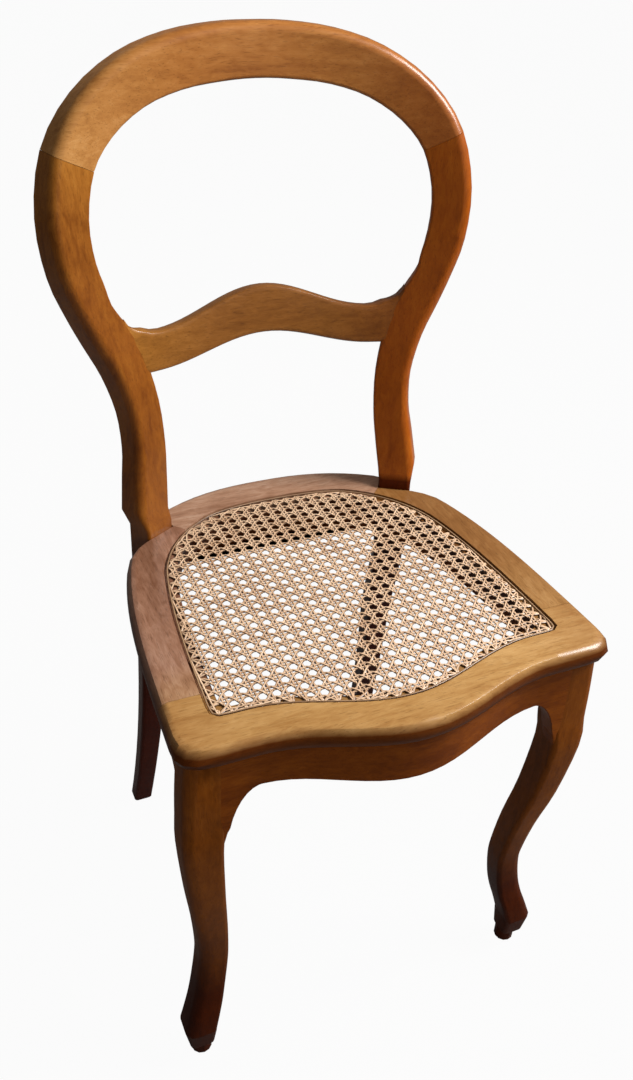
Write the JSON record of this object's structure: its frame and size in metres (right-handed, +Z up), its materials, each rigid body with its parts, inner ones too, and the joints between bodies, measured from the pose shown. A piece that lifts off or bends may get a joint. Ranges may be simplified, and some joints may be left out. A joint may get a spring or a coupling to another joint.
{
  "type": "cane back chair",
  "caption": "Side chair with an open balloon-shaped back, a serpentine cross rail, curved front legs and a woven cane seat.",
  "frame": {"origin": "middle of the chair's footprint, on the floor", "axes": "+Z up, +X towards the right of someone who faces the chair's front, the front facing -Y"},
  "size_m": [0.4192, 0.4402, 0.9009],
  "materials": {
    "honey_wood": "satin wax on warm brown beech",
    "red_brown_wood": "satin wax on darker stained beech",
    "dowel_wood": "bare beech",
    "cane": "natural rattan cane, satin"
  },
  "bodies": {
    "root": {"crest_rail": "honey_wood", "cross_rail": "honey_wood", "rear_leg_left": "honey_wood", "rear_leg_right": "honey_wood", "seat_frame_front": "honey_wood", "seat_frame_left": "honey_wood", "seat_frame_right": "honey_wood", "seat_frame_rear": "honey_wood", "front_apron": "red_brown_wood", "rear_apron": "red_brown_wood", "side_apron_left": "red_brown_wood", "side_apron_right": "red_brown_wood", "front_leg_left": "red_brown_wood", "front_leg_right": "red_brown_wood", "crest_dowel_left_inner": "dowel_wood", "crest_dowel_left_outer": "dowel_wood", "crest_dowel_right_inner": "dowel_wood", "crest_dowel_right_outer": "dowel_wood", "cane_seat": "cane", "cane_binding": "cane"}
  },
  "joints": []
}
